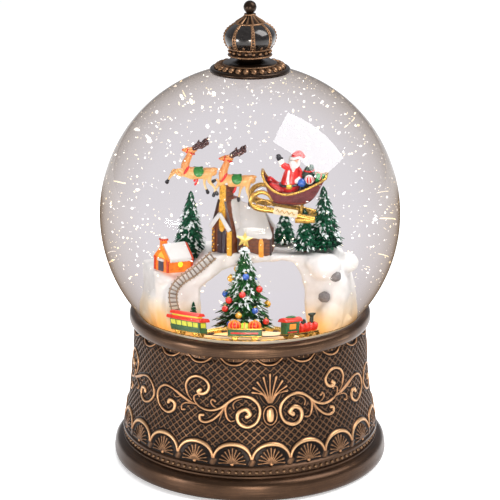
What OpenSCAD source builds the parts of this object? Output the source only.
// Snow globe lantern: a water globe with a Christmas village on a bronze relief base.
// A hidden motor turns the train round the village and a second one swirls the glitter.
// Origin: bottom centre, +Z up, front faces -Y. All sizes in millimetres.

/* [Globe] */
// Outer radius of the glass ball
globe_r = 75; // [65:1:90]
// Thickness of the glass
glass_t = 2; // [1.5:0.1:3]
// Outer radius of the glass neck that stands in the base
neck_r = 53; // [50:0.5:55]
// Gap between the glass and the rim ring
glass_gap = 0.15; // [0.1:0.05:0.4]

/* [Base] */
// Height of the base up to the line where the rim meets the glass
base_h = 78; // [72:1:100]
// Largest radius of the bulging foot flange
flange_r = 69.7; // [68:0.5:84]
// Height of the flange and its bead row
flange_h = 17.6; // [16:0.1:22]
// Wall radius just above the bead row
wall_low_r = 63.9; // [62:0.1:67]
// Wall radius just under the rim ring
wall_top_r = 58.3; // [58:0.1:61]
// Thickness of the housing wall
wall_t = 2.6; // [2:0.1:4]
// Outer radius of the rim ring
rim_r = 61.2; // [60.5:0.1:74]
// Radius where the rim ring meets the glass
rim_in_r = 56.8; // [55:0.1:58]
// Height of the rubber feet under the bottom plate
foot_h = 2; // [1.5:0.1:3]
// Thickness of the bottom plate
plate_t = 2.4; // [2:0.1:4]

/* [Batteries and controls] */
// Diameter of one battery cell
cell_d = 14.2; // [10.4:0.1:16]
// Length of one battery cell
cell_len = 50; // [44:0.1:56]
// Number of cells side by side
cell_count = 3; // [2:1:3]
// Width of the rear control panel
panel_w = 34; // [32:1:38]
// Height of the rear control panel
panel_h = 13; // [12:0.5:14]
// Travel of the slide switch
switch_travel = 5; // [3:0.5:6]

/* [Drive] */
// Tooth module of the train drive gears
gear_module = 1.4; // [1.2:0.05:1.5]
// Teeth of the large drive gear
gear_teeth = 42; // [36:1:44]
// Teeth of the motor pinion
pinion_teeth = 14; // [13:1:16]
// Radius of both small motors
motor_r = 10; // [8:0.5:11]
// Length of both small motors
motor_len = 21; // [16:0.5:24]
// Distance of the swirl motor from the middle
swirl_dist = 40; // [38:0.5:41]
// Radius of the drive gear spindle
spindle_r = 2; // [1.5:0.1:3]
// Radial running clearance of every turning fit
run_gap = 0.06; // [0.03:0.01:0.09]

/* [Inside the water] */
// Radius of the centre post
post_r = 3; // [2.5:0.1:4]
// Middle radius of the round railway
track_r = 45; // [44:0.1:45.5]
// Width of the turning railway ring
ring_w = 8.6; // [7:0.1:9]
// Gap between the fixed platform and the turning ring
ring_gap = 0.8; // [0.5:0.1:1.2]
// Thickness of the platform and of the ring
deck_t = 2; // [1.5:0.1:2.6]
// Depth of the snow mound from front to back
mound_d = 26; // [20:1:30]
// Height of the church terrace above the railway
terrace_h = 34.4; // [30:0.2:38]
// Height of the cottage ledge above the railway
ledge_h = 28; // [24:0.2:30]
// Height of the Christmas tree above the railway
tree_h = 40.4; // [34:0.2:48]
// Largest radius of the Christmas tree
tree_r = 12.6; // [10:0.1:14]

/* [Finial] */
// Radius of the finial skirt
skirt_r = 18.45; // [15:0.1:21]
// Largest radius of the ribbed crown
crown_r = 12.9; // [10:0.1:15]
// Radius of the small ball on top
ball_r = 3.2; // [2.6:0.1:4]
// Height of the ball's top above the top of the glass
finial_h = 32.4; // [30:0.2:40]

/* [Hidden] */
$fn = 96;
fit_gap = 0.15;
eps = 0.01;
globe_z = base_h + sqrt(globe_r * globe_r - rim_in_r * rim_in_r);
glass_top = globe_z + globe_r;
in_r = neck_r - glass_t;
neck_top_z = globe_z - sqrt(globe_r * globe_r - neck_r * neck_r);
stop_z0 = base_h - 18;
stop_z1 = base_h - 6;
stopper_r = in_r - 0.6;
track_z = base_h + 1.6;
rim_z0 = base_h - 7;
mech_z = base_h - 30;
mech_t = 2.5;
mech_r = wall_top_r - wall_t - 2.7;
gear_z = base_h - 25;
gear_t = 4;
gear_pr = gear_module * gear_teeth / 2;
pinion_pr = gear_module * pinion_teeth / 2;
pinion_x = -(gear_pr + pinion_pr);
floor_t = 2.5;
rotor_z = base_h - 15.5;
rotor_r = min(gear_pr, swirl_dist - 9) - 1;
magnet_r = 4;
magnet_ring_r = rotor_r - magnet_r - 1;
well_r = 7;
well_z = base_h - 14.5;
swirl_r = 8;
plate_z0 = foot_h;
plate_z1 = foot_h + plate_t;
tray_wall = 1.6;
cell_pitch = cell_d + 0.8;
tray_l = cell_len + 8;
tray_w = cell_pitch * cell_count + 2 * tray_wall + 0.6;
tray_y = -tray_w / 2 - 2;
tray_h = cell_d + 2.4;
door_l = tray_l - 2 * tray_wall;
door_y0 = tray_y - tray_w / 2;
door_y1 = tray_y + tray_w / 2;
door_t = 1.8;
hinge_z = plate_z0 + door_t / 2 + 0.5;
hinge_y = door_y0 - 1.2;
hinge_r = 1;
board_z = 16.4;
board_t = 1.6;
panel_z = 24.4;
panel_y = 62.9;
frame_d = 7.9;
boss_r = 60;
boss_d = 7.4;
foot_r = 6;
foot_place = [door_l / 2 + 16, 25];
spoke_z = stop_z1 + 1.2;
ring_in_r = track_r - ring_w / 2;
ring_out_r = track_r + ring_w / 2;
platform_r = ring_in_r - ring_gap;
hub_h = 2.6;
tree_x = -2.2;
tree_y = -22;
flight_y = -8;
led_r = 38;
led_z = mech_z + mech_t + 2;
arch_r = 19;
arch_x = -0.6;
trunk_r = 0.8;
bauble_r = 1.1;
wheel_r = 1.5;
wheel_z = 1.55;
// Each railway car as [angle round the track, half the distance between its axles]: engine, wagon, coach
cars = [[29, 5], [-3, 4.4], [-37, 5]];
// Front outline of the mound as [x, height above the railway]
mound_outline = [
  [-37, 0], [-38.6, 8], [-37.4, 20], [-38, ledge_h], [-17.8, ledge_h + 0.6], [-15.6, terrace_h], [24, terrace_h],
  [33, terrace_h - 1.4], [36, terrace_h - 10], [37, 14], [36, 0]];
// Middle line of the ramp, in plan and height, from the platform up to the terrace
ramp_route = [
  [-22, -21, 2.4], [-26, -20, 9], [-29, -18.5, 16], [-28, -17, 22], [-22.5, -16, 28], [-15.6, -15, 33.4]];
cottage_at = [-30.2, -9.5];
cottage_turn = -62;
church_at = [-2.6, -4.4];
church_turn = -14;
// Each pine as [x, y, foot height, total height, radius]
pines = [
  [-23.4, 3.4, ledge_h, terrace_h - 6, 6.2], [13, 7, terrace_h - 1.4, 12, 4.6],
  [29.5, -1, terrace_h - 1.9, 26, 7], [20.5, -9.4, terrace_h - 1.4, 15.6, 5]];
// Each bauble as [angle round the tree, height]
baubles = [
  [-80, 28], [-98, 20], [-66, 14], [-110, 10.5], [-30, 22], [20, 16], [75, 24], [120, 12], [165, 19],
  [215, 14]];
// Places of the two reindeer, with their heads towards -X
lead_at = [-20.6, flight_y, 66];
rear_at = [-5.4, flight_y, 62.6];
// Side outline of the sleigh tub and of the room inside it, as [x, height above the railway]
sleigh_outline = [
  [4.2, 61.5], [5.4, 57.4], [9, 55.4], [22, 55.6], [27, 58], [30.4, 66], [28, 67], [24, 64.4], [14, 61.8],
  [8, 60.4]];
sleigh_room = [[8, 80], [8, 70], [9.4, 57.6], [21.6, 57.6], [26, 60], [27.4, 70], [27.4, 80]];

// ---- shared shapes ----
module at(x, y, z) { translate([x, y, z]) children(); }
module ring(r_out, r_in, h) {
  difference() {
    cylinder(r = r_out, h = h);
    translate([0, 0, -1]) cylinder(r = r_in, h = h + 2);
  }
}
module block(x0, x1, y0, y1, z0, z1) { translate([x0, y0, z0]) cube([x1 - x0, y1 - y0, z1 - z0]); }
module four(r, start = 45) { for (a = [0:90:270]) rotate([0, 0, a + start]) translate([r, 0, 0]) children(); }
module rod(p, q, r) {
  v = q - p;
  length = norm(v);
  translate(p) rotate([0, acos(v.z / length), atan2(v.y, v.x)]) cylinder(r = r, h = length);
}

// Involute flank angle in degrees at radius r for base radius b
function inv_deg(r, b) = let (t = sqrt(max(0, r * r / (b * b) - 1))) t * 180 / PI - atan(t);
// One gear outline: straight roots, involute flanks at a 25 degree pressure angle, with backlash
function gear_points(m, n, backlash = 0.22) =
  let (pr = m * n / 2, b = pr * cos(25), ra = pr + 0.92 * m, rr = pr - 1.15 * m,
       half = 90 / n - backlash / pr * 90 / PI, start = max(b, rr + 0.02),
       radii = [for (i = [0:4]) start + (ra - start) * i / 4],
       shift = half + inv_deg(pr, b))
  [for (k = [0:n - 1]) let (c = 360 * k / n) each concat(
    [[rr, c - min(shift, 170 / n)]], [for (r = radii) [r, c - shift + inv_deg(r, b)]],
    [for (i = [4:-1:0]) [radii[i], c + shift - inv_deg(radii[i], b)]], [[rr, c + min(shift, 170 / n)]])];
module gear(m, n, h, turn = 0) {
  linear_extrude(h) rotate(turn) polygon([for (p = gear_points(m, n)) [p[0] * cos(p[1]), p[0] * sin(p[1])]]);
}

// ---- base ----
// Outer outline of the housing from the bottom edge up, as [radius, height]
function housing_outline() = [
  [flange_r - 2.7, 0.6], [flange_r - 0.7, 1.6], [flange_r, 3.6], [flange_r - 0.2, 6.2], [flange_r - 0.8, 9],
  [flange_r - 2.3, 10.7], [wall_low_r + 1.3, 11.5], [wall_low_r + 1.2, 12.3], [wall_low_r + 0.2, 12.7],
  [wall_low_r + 0.2, flange_h - 2.3], [wall_low_r + 1.3, flange_h - 1.8], [wall_low_r + 1.2, flange_h - 0.8],
  [wall_low_r + 0.2, flange_h], [wall_low_r, flange_h + 3], [wall_low_r - 1.5, flange_h + 9],
  [wall_low_r - 2.6, flange_h + 15], [wall_top_r + 1.3, flange_h + 27], [wall_top_r + 0.5, base_h - 21],
  [wall_top_r, base_h - 10], [wall_top_r - 0.9, base_h - 8.4], [wall_top_r - 0.9, rim_z0]];
module base_housing() {
  outer = housing_outline();
  last = len(outer) - 1;
  inner = [for (i = [last:-1:0])
    [min(outer[i][0] - wall_t, wall_low_r), i == last ? rim_z0 - 4.5 : outer[i][1]]];
  collar = [[neck_r + 0.4, rim_z0], [neck_r + 0.4, rim_z0 - 3], [wall_top_r - 0.9 - wall_t, rim_z0 - 3 - 1.5]];
  color("saddlebrown") difference() {
    union() {
      rotate_extrude() polygon(concat(outer, collar, [for (i = [1:last]) inner[i]]));
      intersection() {
        union() {
          four(boss_r) translate([0, 0, plate_z1]) cylinder(d = boss_d, h = 9);
          four(mech_r - 3) translate([0, 0, mech_z - 8]) cylinder(d = 6, h = 8);
          four(mech_r - 3) translate([0, -1.5, mech_z - 8]) cube([wall_t + 7, 3, 8]);
        }
        rotate_extrude() polygon(concat([[0, 0.6]], [for (p = outer) [p[0] - 1, p[1]]], [[0, rim_z0]]));
      }
    }
    four(boss_r) translate([0, 0, plate_z1 - 1]) cylinder(r = 1.5, h = 9);
    four(mech_r - 3) translate([0, 0, mech_z - 7]) cylinder(r = 1.2, h = 8);
    block(-panel_w / 2 - fit_gap, panel_w / 2 + fit_gap, 40, 80,
      panel_z - panel_h / 2 - fit_gap, panel_z + panel_h / 2 + fit_gap);
  }
}
module rim_ring() {
  seat = globe_r + glass_gap;
  steps = 5;
  low = globe_z - base_h;
  high = globe_z - (rim_z0 + 3);
  foot = max(neck_r + 0.4, sqrt(seat * seat - pow(globe_z - rim_z0 - 2, 2)));
  color("rosybrown") rotate_extrude() polygon(concat(
    [[wall_top_r - 0.9, rim_z0], [rim_r - 1.2, rim_z0 + 0.5], [rim_r - 0.3, rim_z0 + 2], [rim_r, rim_z0 + 4.2],
     [rim_r - 0.5, rim_z0 + 6], [rim_r - 1.7, rim_z0 + 7.2], [rim_r - 3.2, rim_z0 + 7.5]],
    [for (i = [0:steps]) let (d = low + (high - low) * i / steps) [sqrt(seat * seat - d * d), globe_z - d]],
    [[foot, rim_z0 + 2], [foot, rim_z0]]));
}
module bottom_plate() {
  color("dimgray") difference() {
    union() {
      translate([0, 0, plate_z0]) cylinder(r = wall_low_r - 0.4, h = plate_t);
      for (s = [-1, 1]) block(s * (door_l / 2 + 2) - 1.4, s * (door_l / 2 + 2) + 1.4,
        hinge_y - 2.2, hinge_y + 2.2, plate_z1 - eps, hinge_z + 2.6);
    }
    block(-door_l / 2 - 0.4, door_l / 2 + 0.4, hinge_y - 2, door_y1, -1, 30);
    translate([-door_l / 2 - 6, hinge_y, hinge_z]) rotate([0, 90, 0])
      cylinder(r = hinge_r + run_gap, h = door_l + 12);
    four(boss_r) translate([0, 0, -1]) cylinder(r = 1.6, h = 10);
    four(boss_r) translate([0, 0, plate_z0 - 1]) cylinder(r = 3.1, h = 2.2);
  }
}
module rubber_feet() {
  color("black") for (sx = [-1, 1], sy = [-1, 1])
    at(sx * foot_place.x, sy * foot_place.y, 0) cylinder(r = foot_r, h = foot_h);
}
module housing_screws() {
  color("silver") four(boss_r) {
    translate([0, 0, plate_z0 + 0.1]) cylinder(r = 3, h = 1.1);
    translate([0, 0, plate_z0 + 0.6]) cylinder(r = 1.4, h = plate_t + 6);
  }
}

// ---- batteries and controls ----
module battery_tray() {
  color("gray") difference() {
    block(-tray_l / 2, tray_l / 2, door_y0, door_y1, plate_z1, plate_z1 + tray_h + tray_wall);
    block(-tray_l / 2 + tray_wall, tray_l / 2 - tray_wall, door_y0 + tray_wall, door_y1 - tray_wall,
      plate_z1 - 1, plate_z1 + tray_h);
    for (s = [-1, 1]) block(s * (door_l / 2 + 2) - 1.7, s * (door_l / 2 + 2) + 1.7,
      hinge_y - 2.5, hinge_y + 2.5, plate_z1 - 1, hinge_z + 2.9);
  }
}
module cell_places() {
  for (i = [0:cell_count - 1])
    translate([0, tray_y + (i - (cell_count - 1) / 2) * cell_pitch, plate_z1 + 1.2 + cell_d / 2]) children();
}
module battery_cells() {
  color("steelblue") cell_places() rotate([0, 90, 0]) {
    translate([0, 0, -cell_len / 2]) cylinder(d = cell_d, h = cell_len - 1.2);
    translate([0, 0, cell_len / 2 - 1.3]) cylinder(d = 5.2, h = 1.3);
  }
}
module contact_springs() {
  spring_l = (tray_l - 2 * tray_wall - cell_len) / 2;
  color("silver") cell_places() rotate([0, 90, 0]) translate([0, 0, -cell_len / 2 - spring_l + 0.1])
    for (i = [0:2]) translate([0, 0, i * 0.7]) ring(4.2 - i * 0.8, 3 - i * 0.8, 0.72);
}
module contact_plates() {
  spring_l = (tray_l - 2 * tray_wall - cell_len) / 2;
  color("gold") cell_places() translate([cell_len / 2 + spring_l - 0.55, -5, -5]) cube([0.5, 10, 10]);
}
module battery_door() {
  color("dimgray") {
    difference() {
      union() {
        block(-door_l / 2, door_l / 2, hinge_y, door_y1 - 0.4, plate_z0 + 0.1, plate_z0 + door_t);
        translate([-door_l / 2, hinge_y, hinge_z]) rotate([0, 90, 0]) cylinder(r = 1.4, h = door_l);
      }
      block(-6, 6, door_y1 - 2.5, door_y1, plate_z0, plate_z0 + 1);
    }
    translate([-door_l / 2 - 3, hinge_y, hinge_z]) rotate([0, 90, 0]) cylinder(r = hinge_r, h = door_l + 6);
  }
}
module rear_panel() {
  slot_w = 5 + switch_travel;
  color("dimgray") difference() {
    union() {
      block(-panel_w / 2, panel_w / 2, panel_y - frame_d, panel_y,
        panel_z - panel_h / 2, panel_z + panel_h / 2);
      block(-panel_w / 2 - 2, panel_w / 2 + 2, panel_y - frame_d - 1.6, panel_y - frame_d + eps,
        panel_z - panel_h / 2 - 2, panel_z + panel_h / 2 + 2);
    }
    block(-panel_w / 2 + 1.5, panel_w / 2 - 1.5, panel_y - 11, panel_y - 1.6,
      panel_z - panel_h / 2 + 1.5, panel_z + panel_h / 2 - 1.5);
    block(-9 - slot_w / 2, -9 + slot_w / 2, panel_y - 3, panel_y + 1, panel_z - 2.2, panel_z + 2.2);
    translate([9, panel_y + 1, panel_z]) rotate([90, 0, 0]) linear_extrude(4) stadium(9.3, 3.6);
  }
}
module stadium(w, h) {
  square([w - h, h], center = true);
  for (s = [-1, 1]) translate([s * (w - h) / 2, 0]) circle(d = h);
}
module switch_body() {
  color("darkgray") difference() {
    block(-15, -2, panel_y - frame_d - 1.6, panel_y - 1.8, panel_z - 3.4, panel_z + 3.4);
    block(-9 - switch_travel / 2 - 1.8, -9 + switch_travel / 2 + 1.8, panel_y - 5, panel_y,
      panel_z - 1.9, panel_z + 1.9);
  }
}
module switch_knob() {
  color("white") translate([-9 - switch_travel / 2, 0, 0]) {
    block(-1.6, 1.6, panel_y - 4.8, panel_y + 0.4, panel_z - 1.7, panel_z + 1.7);
    block(-2.2, 2.2, panel_y + 0.3, panel_y + 2, panel_z - 1.9, panel_z + 1.9);
  }
}
module power_socket() {
  color("silver") difference() {
    translate([9, panel_y - 0.4, panel_z]) rotate([90, 0, 0]) linear_extrude(frame_d + 1.2) stadium(8.94, 3.2);
    translate([9, panel_y, panel_z]) rotate([90, 0, 0]) linear_extrude(6.5) stadium(8.34, 2.6);
  }
  color("black") block(9 - 3.3, 9 + 3.3, panel_y - 7, panel_y - 1.6, panel_z - 0.35, panel_z + 0.35);
}
module circuit_board() {
  color("darkgreen") {
    difference() {
      block(-20, 20, 30, panel_y - frame_d - 1.7, board_z, board_z + board_t);
      for (x = [-17, 17]) at(x, 33, board_z - 1) cylinder(r = 1.2, h = 4);
    }
    for (x = [-17, 17]) difference() {
      at(x, 33, plate_z1) cylinder(r = 2.6, h = board_z - plate_z1);
      at(x, 33, plate_z1 + 2) cylinder(r = 1, h = board_z);
    }
    block(-15, 15, panel_y - frame_d - 2.8, panel_y - frame_d - 1.7, board_z + 0.6, panel_z + 3);
  }
  color("black") {
    block(-5, 5, 40, 46, board_z + board_t - eps, board_z + board_t + 1.6);
    at(11, 42, board_z + board_t - eps) cylinder(r = 2.5, h = 5.5);
    at(-12, 42, board_z + board_t - eps) cylinder(r = 2.5, h = 5.5);
  }
}

// ---- mechanism ----
module mech_plate() {
  color("lightgray") difference() {
    translate([0, 0, mech_z]) cylinder(r = mech_r, h = mech_t);
    four(mech_r - 3) translate([0, 0, mech_z - 1]) cylinder(r = 1.4, h = mech_t + 2);
    at(pinion_x, 0, mech_z - 1) cylinder(r = 3, h = mech_t + 2);
    at(0, swirl_dist, mech_z - 1) cylinder(r = 3, h = mech_t + 2);
    translate([0, 0, mech_z - 1]) cylinder(r = spindle_r, h = mech_t + 2);
  }
}
module mech_screws() {
  color("silver") four(mech_r - 3) {
    translate([0, 0, mech_z + mech_t]) cylinder(r = 2.4, h = 1.6);
    translate([0, 0, mech_z - 6]) cylinder(r = 1.1, h = mech_t + 6.2);
  }
}
module gear_spindle() {
  color("silver") {
    translate([0, 0, mech_z - 3]) cylinder(r = spindle_r, h = gear_z + 6 - mech_z);
    translate([0, 0, mech_z - 4.5]) cylinder(r = spindle_r + 2, h = 4.5);
    translate([0, 0, mech_z + mech_t]) cylinder(r = spindle_r + 2, h = gear_z - mech_z - mech_t - 0.2);
  }
}
module motor_can(x, y) {
  at(x, y, mech_z - motor_len) difference() {
    union() {
      cylinder(r = motor_r, h = motor_len);
      translate([0, 0, -2]) cylinder(r = motor_r * 0.6, h = 3);
    }
    translate([0, 0, 4]) cylinder(r = 1 + run_gap, h = motor_len);
    for (s = [-1, 1]) translate([s * (motor_r + 3), 0, motor_len / 2])
      cube([6.8, motor_r, motor_len + 4], center = true);
  }
}
module drive_motor() { color("silver") motor_can(pinion_x, 0); }
module motor_pinion() {
  turn = 180 / pinion_teeth * (pinion_teeth % 2 + 1);
  color("ivory") at(pinion_x, 0, gear_z - 0.4) gear(gear_module, pinion_teeth, gear_t + 0.8, turn);
  color("silver") at(pinion_x, 0, mech_z - motor_len + 6)
    cylinder(r = 1, h = gear_z + 0.5 - mech_z + motor_len - 6);
}
module drive_gear() {
  color("ivory") difference() {
    union() {
      translate([0, 0, gear_z])
        gear(gear_module, gear_teeth, gear_t, 180 + (gear_teeth % 2) * 180 / gear_teeth);
      translate([0, 0, gear_z]) cylinder(r = spindle_r + 6, h = rotor_z - gear_z + 1);
      translate([0, 0, rotor_z]) cylinder(r = rotor_r, h = 2.5);
    }
    translate([0, 0, gear_z - 1]) cylinder(r = spindle_r + run_gap, h = 8);
    for (a = [0:60:300]) rotate(a + 30) translate([rotor_r * 0.58, 0, gear_z - 1]) cylinder(r = 5, h = 20);
  }
}
module magnets(count, ring_r, z, h) {
  for (i = [0:count - 1]) rotate(i * 360 / count) translate([ring_r, 0, z]) cylinder(r = magnet_r, h = h);
}
module drive_magnets() { color("silver") magnets(6, magnet_ring_r, rotor_z + 2.5, 3); }
module swirl_motor() { color("silver") motor_can(0, swirl_dist); }
module swirl_rotor() {
  z1 = stop_z0 - 0.5;
  color("ivory") {
    at(0, swirl_dist, z1 - 4.5) cylinder(r = swirl_r, h = 4.5);
    at(0, swirl_dist, mech_z - motor_len + 6) cylinder(r = 1, h = z1 - 4 - mech_z + motor_len - 6);
  }
}
module led_arc(r_out, r_in, h) {
  intersection() {
    ring(r_out, r_in, h);
    linear_extrude(h) polygon([[0, 0], for (a = [-150:30:60]) [70 * cos(a), 70 * sin(a)]]);
  }
}
module led_board() {
  color("white") {
    translate([0, 0, led_z]) led_arc(led_r + 4, led_r - 4, 1.6);
    for (a = [-130, -45, 40]) rotate(a) translate([led_r, 0, mech_z + mech_t]) cylinder(r = 2, h = 2);
  }
}
module leds() {
  color("lightyellow") for (a = [-140:30:50]) rotate(a) translate([led_r, 0, led_z + 1.6]) {
    cylinder(r = 2.4, h = 2.6);
    translate([0, 0, 2.6]) intersection() {
      sphere(r = 2.4);
      cylinder(r = 3, h = 3);
    }
  }
}

// ---- globe and its sealed floor ----
module globe_glass() {
  in_ball = globe_r - glass_t;
  color("lightblue", 0.35) difference() {
    union() {
      translate([0, 0, globe_z]) sphere(r = globe_r);
      translate([0, 0, stop_z0]) cylinder(r = neck_r, h = neck_top_z - stop_z0 + 1);
    }
    translate([0, 0, globe_z]) sphere(r = in_ball);
    translate([0, 0, globe_z - globe_r - 1]) cylinder(r = in_r, h = neck_top_z + 10 - globe_z + globe_r);
  }
}
module stopper() {
  color("whitesmoke") {
    difference() {
      translate([0, 0, stop_z0]) cylinder(r = stopper_r, h = stop_z1 - stop_z0);
      translate([0, 0, stop_z0 - 1]) cylinder(r = rotor_r + 2, h = stop_z1 - stop_z0 - floor_t + 1);
      at(0, swirl_dist, well_z) cylinder(r = well_r, h = 20);
      at(0, swirl_dist, stop_z0 - 1) cylinder(r = swirl_r + 0.6, h = well_z - 1.5 - stop_z0 + 1);
      at(0, -swirl_dist, stop_z0 - 1) cylinder(r = 4, h = 30);
      for (z = [stop_z0 + 2, stop_z1 - 4]) translate([0, 0, z]) ring(stopper_r + 3, stopper_r - 1.5, 2);
      translate([0, 0, stop_z1 - floor_t - 1]) cylinder(r = post_r, h = 10);
    }
    at(0, swirl_dist, well_z - eps) cylinder(r = 1, h = 5);
  }
}
module stopper_gaskets() {
  color("dimgray") for (z = [stop_z0 + 2, stop_z1 - 4]) translate([0, 0, z]) ring(in_r, stopper_r - 1.5, 2);
}
module filler_plug() {
  color("black") at(0, -swirl_dist, stop_z0 + 1) {
    cylinder(r = 4, h = stop_z1 - stop_z0 - 1);
    translate([0, 0, stop_z1 - stop_z0 - 1 - eps]) cylinder(r = 5, h = 1);
  }
}
module clamp_ring() {
  color("gray") translate([0, 0, stop_z0 - 2])
    ring(wall_top_r - wall_t - 0.1, swirl_dist + swirl_r + 0.6, 2);
}
module impeller() {
  color("white") at(0, swirl_dist, well_z + 0.4) difference() {
    union() {
      cylinder(r = well_r - 1, h = 1.4);
      cylinder(r = 2.6, h = 5);
      for (a = [0:60:300]) rotate(a) translate([1.5, -0.5, 0]) cube([well_r - 2.8, 1, 5]);
    }
    translate([0, 0, -1]) cylinder(r = 1 + run_gap, h = 8);
  }
}
module center_post() {
  top = track_z - deck_t - 0.2;
  color("silver") {
    translate([0, 0, stop_z1 - floor_t]) cylinder(r = post_r, h = top - stop_z1 + floor_t + 1.8);
    translate([0, 0, stop_z1]) cylinder(r = post_r + 2, h = spoke_z - stop_z1 - 0.2);
    translate([0, 0, spoke_z + hub_h + 0.2]) cylinder(r = post_r + 2, h = top - spoke_z - hub_h - 0.2);
  }
}
module turntable() {
  color("burlywood") difference() {
    union() {
      translate([0, 0, spoke_z]) cylinder(r = post_r + 4, h = hub_h);
      for (a = [0:60:300]) rotate(a) {
        block(post_r + 2, ring_in_r + 2, -2.5, 2.5, spoke_z, spoke_z + 1.4);
        translate([magnet_ring_r, 0, spoke_z]) cylinder(r = magnet_r + 1.4, h = 2);
        block(ring_in_r, ring_in_r + 2.4, -3, 3, spoke_z, track_z - 1);
      }
      translate([0, 0, track_z - deck_t]) ring(ring_out_r, ring_in_r, deck_t);
    }
    translate([0, 0, spoke_z - 1]) cylinder(r = post_r + run_gap, h = 8);
    for (a = [0:60:300]) rotate(a) translate([magnet_ring_r, 0, spoke_z - 1]) cylinder(r = magnet_r, h = 2.4);
    for (s = [-1, 1]) translate([0, 0, track_z - 0.3])
      ring(track_r + s * 2.2 + 0.35, track_r + s * 2.2 - 0.35, 1);
  }
}
module turntable_magnets() { color("silver") magnets(6, magnet_ring_r, spoke_z, 1.4); }

// ---- train, on its own circle: +X runs forwards, +Y is the outside ----
function car_turn(a) = a - 90;
// What each car leaves free for its wheels and axles
module wheel_space(x_axle) {
  for (x = [-x_axle, x_axle]) translate([x, 0, wheel_z]) rotate([90, 0, 0]) {
    cylinder(r = 0.5, h = 6, center = true);
    for (s = [-1, 1]) translate([0, 0, s * 2.9]) cylinder(r = wheel_r + 0.2, h = 1.8, center = true);
  }
}
module on_track(a) { rotate(car_turn(a)) translate([track_r, 0, track_z]) rotate(90) children(); }
module locomotive() {
  color("firebrick") on_track(cars[0][0]) {
    difference() {
      block(-8, 8.6, -3.4, 3.4, 1.6, 2.8);
      wheel_space(cars[0][1]);
    }
    translate([-1.5, 0, 5]) rotate([0, 90, 0]) cylinder(r = 2.6, h = 9.4);
    difference() {
      block(-8, -1.4, -3.4, 3.4, 2.7, 9);
      wheel_space(cars[0][1]);
    }
    block(-8.8, -0.6, -4.2, 4.2, 9, 10);
    translate([5.6, 0, 7]) cylinder(r = 1.1, h = 5);
    translate([5.6, 0, 11.4]) cylinder(r = 1.8, h = 1.2);
    translate([1.8, 0, 7]) cylinder(r = 1, h = 2.4);
  }
}
module gift_wagon() {
  color("seagreen") on_track(cars[1][0]) {
    difference() {
      block(-7.4, 7.4, -3.4, 3.4, 1.8, 5.6);
      wheel_space(cars[1][1]);
      block(-6.6, 6.6, -2.6, 2.6, 3.4, 7);
    }
    for (x = [-4.4, 0, 4.4]) translate([x, 0, 5.4]) sphere(r = 2.1);
  }
}
module coach() {
  color("orangered") on_track(cars[2][0]) {
    difference() {
      block(-8.2, 8.2, -3.4, 3.4, 1.8, 7);
      wheel_space(cars[2][1]);
    }
    block(-9, 9, -4.2, 4.2, 7, 8);
    block(-7, 7, -2.6, 2.6, 8 - eps, 9.6);
    block(-7.8, 7.8, -3.2, 3.2, 9.6, 10.6);
  }
}
module train_wheels() {
  color("goldenrod") for (car = cars) on_track(car[0]) for (x = [-car[1], car[1]]) {
    for (s = [-1, 1]) translate([x, s * 2.6, wheel_z]) rotate([90, 0, 0])
      cylinder(r = wheel_r, h = 0.9, center = true);
    translate([x, 0, wheel_z]) rotate([90, 0, 0]) cylinder(r = 0.4, h = 6, center = true);
  }
}

// ---- village, fixed on the platform ----
module scene_platform() {
  color("white") difference() {
    translate([0, 0, track_z - deck_t]) cylinder(r = platform_r, h = deck_t);
    translate([0, 0, track_z - deck_t - 1]) cylinder(r = post_r, h = 2.6);
  }
}
module snow_mound() {
  color("white") translate([0, 0, track_z]) {
    difference() {
      translate([0, mound_d / 2, 0]) rotate([90, 0, 0]) linear_extrude(mound_d) difference() {
        polygon(mound_outline);
        translate([arch_x, terrace_h - 4 - arch_r]) circle(r = arch_r);
        translate([arch_x - arch_r, -1]) square([2 * arch_r, terrace_h - 3 - arch_r]);
      }
      for (p = pines) at(p[0], p[1], p[2]) cylinder(r = trunk_r + 0.05, h = p[3]);
    }
    ramp_bank();
    at(cottage_at.x, cottage_at.y, ledge_h - 7) cylinder(r1 = 2, r2 = 7, h = 6.95);
  }
}
// The bank of snow that carries the ramp, up against the front of the mound
module ramp_bank() {
  for (i = [0:len(ramp_route) - 2]) hull() for (p = [ramp_route[i], ramp_route[i + 1]])
    at(p.x, (p.y - mound_d / 2) / 2, p.z / 2 - 0.4)
      cube([5.6, abs(p.y) - mound_d / 2, p.z - 0.8], center = true);
}
module ramp_rails() {
  color("peru") translate([0, 0, track_z]) difference() {
    for (i = [0:len(ramp_route) - 2]) hull() for (p = [ramp_route[i], ramp_route[i + 1]])
      translate(p + [0, 0.6, 0]) cube([4.4, 2.6, 1.6], center = true);
    ramp_bank();
  }
}
module stones() {
  color("gray") translate([0, 0, track_z]) {
    hull() for (s = [-1, 1]) at(33 + s, -mound_d / 2 - 2.8 + s * 0.5, 25) sphere(r = 2.2, $fn = 24);
    hull() for (s = [-1, 1]) at(28.5 + s, -mound_d / 2 - 2.05, 17 + s * 0.4) sphere(r = 2, $fn = 24);
  }
}
module house(w, d, wall, gable) {
  rotate([90, 0, 0]) linear_extrude(d, center = true)
    polygon([[-w / 2, 0], [w / 2, 0], [w / 2, wall], [0, wall + gable], [-w / 2, wall]]);
}
module roof(w, d, wall, gable, t) {
  slope = norm([w / 2, gable]);
  over = 1 + 1.6 / slope;
  eave = wall + gable - gable * over;
  rotate([90, 0, 0]) linear_extrude(d, center = true) polygon([
    [0, wall + gable + 0.05], [w / 2 * over, eave + 0.05], [w / 2 * over, eave + t],
    [0, wall + gable + t * 1.15], [-w / 2 * over, eave + t], [-w / 2 * over, eave + 0.05]]);
}
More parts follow.
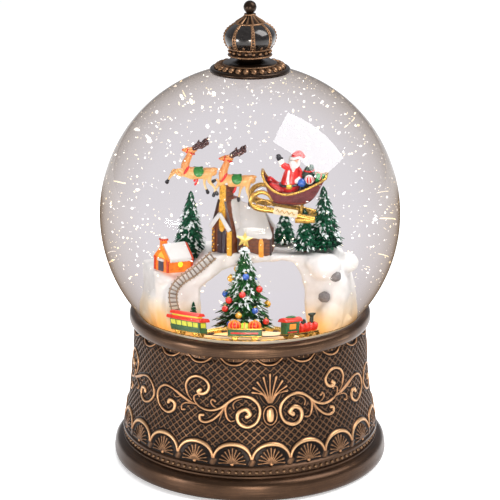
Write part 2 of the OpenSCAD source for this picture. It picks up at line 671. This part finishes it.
module cottage() {
  color("darkorange") translate([cottage_at.x, cottage_at.y, track_z + ledge_h + 0.6]) rotate(cottage_turn) {
    house(9, 12, 4.6, 4);
    block(-2.6, -0.9, -4.2, -2.4, 5, 10.4);
  }
}
module cottage_roof() {
  color("white") translate([cottage_at.x, cottage_at.y, track_z + ledge_h + 0.6]) rotate(cottage_turn)
  difference() {
    roof(9, 13.4, 4.6, 4, 1.1);
    block(-2.7, -0.8, -4.3, -2.3, 0, 20);
  }
}
module church() {
  color("saddlebrown") translate([church_at.x, church_at.y, track_z + terrace_h]) rotate(church_turn) {
    rotate(90) house(10, 17, 6.6, 9);
    translate([-7.2, 0, 0]) linear_extrude(21.5) square(3.4, center = true);
    translate([-5.5, -6.4, 0]) house(4.4, 4, 4.4, 3.4);
  }
}
module church_roof() {
  color("white") translate([church_at.x, church_at.y, track_z + terrace_h]) rotate(church_turn) difference() {
    rotate(90) roof(10, 18.4, 6.6, 9, 1.2);
    translate([-7.2, 0, 0]) linear_extrude(40) square(3.6, center = true);
    translate([-5.5, -6.4, 0]) house(4.6, 4.2, 4.5, 3.5);
  }
}
// One layered tree: top at z = h, lowest twigs at z = foot
module tree(h, r, foot, layers, trunk_r) {
  step = (h - foot) / layers;
  rotate_extrude() polygon(concat([[0, 0], [trunk_r, 0], [trunk_r, foot]],
    [for (i = [0:layers - 1]) let (k = 1 - i / layers) each [
      [max(r * k, trunk_r + 0.2), foot + i * step],
      [max(r * (k - 0.55 / layers), trunk_r * 0.9), foot + (i + 0.96) * step]]],
    [[0, h]]));
}
module pine_trees() {
  color("darkgreen") for (p = pines) at(p[0], p[1], track_z + p[2]) tree(p[3], p[4], 2.4, 5, trunk_r);
}
module christmas_tree() {
  color("green") at(tree_x, tree_y, track_z) difference() {
    tree(tree_h, tree_r, 5, 7, 1.4);
    bauble_places() sphere(r = bauble_r + 0.05, $fn = 24);
  }
}
module tree_star() {
  color("gold") at(tree_x, tree_y, track_z + tree_h + 2.5) rotate([90, 0, 0]) linear_extrude(1.2, center = true)
    polygon([for (i = [0:9]) let (r = i % 2 == 0 ? 3.2 : 1.35) [r * sin(i * 36), r * cos(i * 36)]]);
}
module bauble_places() {
  for (b = baubles) rotate(b[0]) translate([tree_r * (tree_h - b[1]) / (tree_h - 5) + 0.4, 0, b[1]]) children();
}
module tree_ornaments() {
  color("crimson") at(tree_x, tree_y, track_z) bauble_places() sphere(r = bauble_r, $fn = 24);
}

// ---- flying team: heads point to -X ----
module limb(p, q, r_start, r_end) {
  hull() {
    translate(p) sphere(r = r_start, $fn = 14);
    translate(q) sphere(r = r_end, $fn = 14);
  }
}
module reindeer_body(knee, hoof) {
  limb([-4.4, 0, 1.2], [4.4, 0, 0.4], 2.2, 2);
  limb([-5, 0, 2], [-6.4, 0, 8], 1.6, 1.1);
  limb([-5.8, 0, 8.8], [-9.2, 0, 8], 1.3, 0.8);
  for (s = [-1, 1]) {
    limb([-5, s * 1.1, 0.6], [knee.x, s * 1.2, knee.y + s * 0.7], 1.1, 0.6);
    limb([knee.x, s * 1.2, knee.y + s * 0.7], [hoof.x, s * 1.2, hoof.y + s * 0.7], 0.6, 0.45);
    limb([4.8, s * 1.1, 0], [6.6, s * 1.2, -4.4], 1.3, 0.6);
    limb([6.6, s * 1.2, -4.4], [9 + s, s * 1.2, -8], 0.6, 0.45);
    limb([-5.4, s * 0.5, 9.4], [-3, s * 2, 12.6], 0.5, 0.4);
    limb([-3, s * 2, 12.6], [-1, s * 2.4, 13.4], 0.4, 0.3);
  }
}
module lead_reindeer() {
  color("tan") translate([lead_at.x, lead_at.y, track_z + lead_at.z])
    reindeer_body([-9.6, 0.4], [-12.4, -2.8]);
}
module rear_reindeer() {
  color("tan") translate([rear_at.x, rear_at.y, track_z + rear_at.z])
    reindeer_body([-6.8, 1.8], [-7.4, 0.6]);
  color("lightblue") translate([0, 0, track_z]) {
    limb([rear_at.x - 4, flight_y, rear_at.z + 1.4], [lead_at.x + 6.95, flight_y, lead_at.z + 0.4], 0.5, 0.5);
    limb([rear_at.x + 4, flight_y, rear_at.z - 0.6], [4.65, flight_y, 58], 0.5, 0.5);
  }
}
module sleigh() {
  color("darkred") translate([0, flight_y, track_z]) difference() {
    rotate([90, 0, 0]) linear_extrude(13, center = true) polygon(sleigh_outline);
    rotate([90, 0, 0]) linear_extrude(10.6, center = true) polygon(sleigh_room);
  }
}
module sleigh_runners() {
  color("gold") translate([0, flight_y, track_z]) {
    for (s = [-1, 1]) {
      rod([1, s * 5, 54.6], [4.5, s * 5, 51.4], 0.6);
      rod([4.5, s * 5, 51.4], [25, s * 5, 48.4], 0.6);
      for (x = [10, 20]) rod([x, s * 5, 50.6 - (x - 10) * 0.146], [x, s * 5, 55.25 + x / 65], 0.5);
    }
    rod([12, -5, 50.3], [12, 5, 50.3], 0.5);
  }
  tree_top = [pines[1].x, pines[1].y, track_z + pines[1][2] + pines[1][3] + 0.3];
  color("lightblue") rod([12.6, flight_y, track_z + 50], tree_top, 0.6);
}
module santa() {
  color("red") translate([14.6, flight_y, track_z + 57.6]) {
    cylinder(r1 = 4.4, r2 = 3, h = 8);
    translate([0, 0, 10.4]) sphere(r = 3.1, $fn = 40);
    rod([0, 0, 12], [2.6, 0, 17.4], 1.2);
    rod([-2, -2, 6.4], [-5.4, -3.6, 9.4], 1.2);
    rod([2, 2, 6.4], [-2.4, 4, 6.8], 1.2);
  }
}
module gift_sack() {
  color("darkgreen") intersection() {
    translate([22.6, flight_y, track_z + 60.6]) {
      sphere(r = 3.4, $fn = 32);
      translate([1.4, -1, 3.8]) sphere(r = 2.2, $fn = 32);
      translate([-2, 1, 4]) cube([3.4, 3.4, 5], center = true);
    }
    translate([-0.05, flight_y, track_z + 0.05]) rotate([90, 0, 0])
      linear_extrude(10.4, center = true) polygon(sleigh_room);
  }
}

// ---- finial ----
// Height of the glass above its own centre at radius r
function ball_height(r) = sqrt(globe_r * globe_r - r * r);
module finial_cap() {
  z0 = glass_top;
  bead_r = 1.4;
  bead_z = globe_z + sqrt(pow(globe_r + bead_r, 2) - skirt_r * skirt_r);
  color("saddlebrown") rotate_extrude() polygon(concat(
    [for (i = [0:8]) let (r = (skirt_r - 1.2) * i / 8) [r, globe_z + ball_height(r) + 0.03]],
    [for (a = [-130:20:160]) [skirt_r + bead_r * cos(a), bead_z + bead_r * sin(a)]],
    [[crown_r + 0.9, z0 + 0.2], [crown_r + 0.6, z0 + 1.2], [crown_r - 0.6, z0 + 1.6], [crown_r - 1.8, z0 + 2],
     [7.4, z0 + 2.6], [5.8, z0 + 3.8], [5.6, z0 + 4.8], [0, z0 + 4.8]]));
}
module finial_crown() {
  z0 = glass_top + 4.8;
  top = finial_h - 4.8 - 2 * ball_r;
  color("saddlebrown") rotate_extrude() polygon([
    [0, z0], [5.8, z0], [9.8, z0 + 0.6], [10.4, z0 + 1.4], [9.9, z0 + 2.4], [10.6, z0 + 4.6],
    for (a = [-20:12.5:55]) [crown_r - 6 + 6 * cos(a), z0 + top * 0.48 + 6.6 * sin(a)],
    [6.9, z0 + top * 0.78], [5.4, z0 + top * 0.84], [2.6, z0 + top * 0.93], [2.1, z0 + top], [0, z0 + top]]);
}
module finial_ball() {
  color("saddlebrown") difference() {
    at(0, 0, glass_top + finial_h - ball_r) sphere(r = ball_r);
    at(0, 0, glass_top + finial_h - 2 * ball_r - 2) cylinder(r = ball_r, h = 2.2);
  }
}

base_housing();
rim_ring();
bottom_plate();
rubber_feet();
housing_screws();
battery_tray();
battery_cells();
contact_springs();
contact_plates();
battery_door();
rear_panel();
switch_body();
switch_knob();
power_socket();
circuit_board();
mech_plate();
mech_screws();
gear_spindle();
drive_motor();
motor_pinion();
drive_gear();
drive_magnets();
swirl_motor();
swirl_rotor();
led_board();
leds();
globe_glass();
stopper();
stopper_gaskets();
filler_plug();
clamp_ring();
impeller();
center_post();
turntable();
turntable_magnets();
locomotive();
gift_wagon();
coach();
train_wheels();
scene_platform();
snow_mound();
ramp_rails();
stones();
cottage();
cottage_roof();
church();
church_roof();
pine_trees();
christmas_tree();
tree_star();
tree_ornaments();
lead_reindeer();
rear_reindeer();
sleigh();
sleigh_runners();
santa();
gift_sack();
finial_cap();
finial_crown();
finial_ball();
